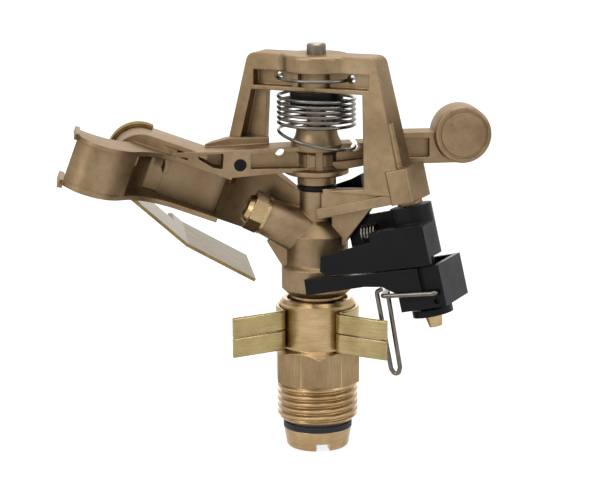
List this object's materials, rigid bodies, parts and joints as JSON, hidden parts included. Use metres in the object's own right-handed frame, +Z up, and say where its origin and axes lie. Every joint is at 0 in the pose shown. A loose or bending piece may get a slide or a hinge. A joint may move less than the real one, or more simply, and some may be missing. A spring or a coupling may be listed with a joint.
{
  "type": "impact sprinkler",
  "caption": "Part-circle impact sprinkler with a male threaded inlet, a sprung swinging arm with a water spoon, and a trip lever set by two collars on the riser.",
  "frame": {"origin": "centre of the shoulder where the male inlet thread meets the hexagon, on the riser axis", "axes": "+Z up the riser; -X towards the nozzle and the spoon of the arm at rest; -Y towards the side with the trip levers"},
  "size_m": [0.1112, 0.051, 0.1057],
  "materials": {
    "cast_brass": "satin, fine cast grain",
    "machined_brass": "turned and polished",
    "strip_brass": "satin rolled strip",
    "polished_sheet": "mirror polished",
    "spring_steel": "drawn wire and ground bar",
    "black_plastic": "satin moulded",
    "seal_rubber": "matte",
    "seal_liner": "matte"
  },
  "bodies": {
    "base": {"bearing_nipple": "machined_brass"},
    "upper_collar": {"upper_trip_collar": "strip_brass"},
    "lower_collar": {"lower_trip_collar": "strip_brass"},
    "head": {"sprinkler_body": "cast_brass", "bearing_tube": "machined_brass", "lower_seal": "seal_rubber", "seal_liner": "seal_liner", "friction_ring": "seal_liner", "thrust_spring": "spring_steel", "spring_cover": "machined_brass", "nozzle": "machined_brass", "stream_straightener": "black_plastic", "fulcrum_pin": "spring_steel", "upper_bush": "black_plastic", "lower_washer": "seal_rubber", "trip_pivot_pin": "machined_brass", "pivot_clip": "black_plastic"},
    "arm": {"impact_arm": "cast_brass", "arm_bushing": "black_plastic", "arm_bumper": "seal_rubber", "deflector_sheet": "polished_sheet", "arm_spring": "spring_steel"},
    "trip": {"trip_lever": "black_plastic", "trip_wire": "spring_steel"},
    "reverser": {"reversing_lever": "black_plastic", "toggle_spring": "spring_steel"}
  },
  "joints": [
    {"name": "upper_collar_turn", "type": "hinge", "parent": "base", "child": "upper_collar", "pos_m": [0, 0, 0.017], "axis": [0, 0, 1], "range_deg": [-45, 0]},
    {"name": "lower_collar_turn", "type": "hinge", "parent": "base", "child": "lower_collar", "pos_m": [0, 0, 0.012], "axis": [0, 0, 1], "range_deg": [-45, 0]},
    {"name": "head_turn", "type": "hinge", "parent": "base", "child": "head", "pos_m": [0, 0, 0.03], "axis": [0, 0, 1], "range_deg": [0, 145]},
    {"name": "arm_swing", "type": "hinge", "parent": "head", "child": "arm", "pos_m": [0, 0, 0.058], "axis": [0, 0, 1], "range_deg": [0, 60], "stiffness_Nm_per_rad": 0.02, "springref_deg": -34.38, "deforming": ["arm_spring"]},
    {"name": "trip_lever_turn", "type": "hinge", "parent": "head", "child": "trip", "pos_m": [0.0217, -0.01541, 0.0498], "axis": [-0.1948, 0.1125, 0.9744], "range_deg": [0, 10]},
    {"name": "reversing_lever_turn", "type": "hinge", "parent": "head", "child": "reverser", "pos_m": [0.0217, -0.01541, 0.0498], "axis": [-0.1948, 0.1125, 0.9744], "range_deg": [-7.5, 0], "deforming": ["toggle_spring"]}
  ],
  "couplings": [
    {"joint": "reversing_lever_turn", "follows": "trip_lever_turn", "ratio": -0.75}
  ]
}
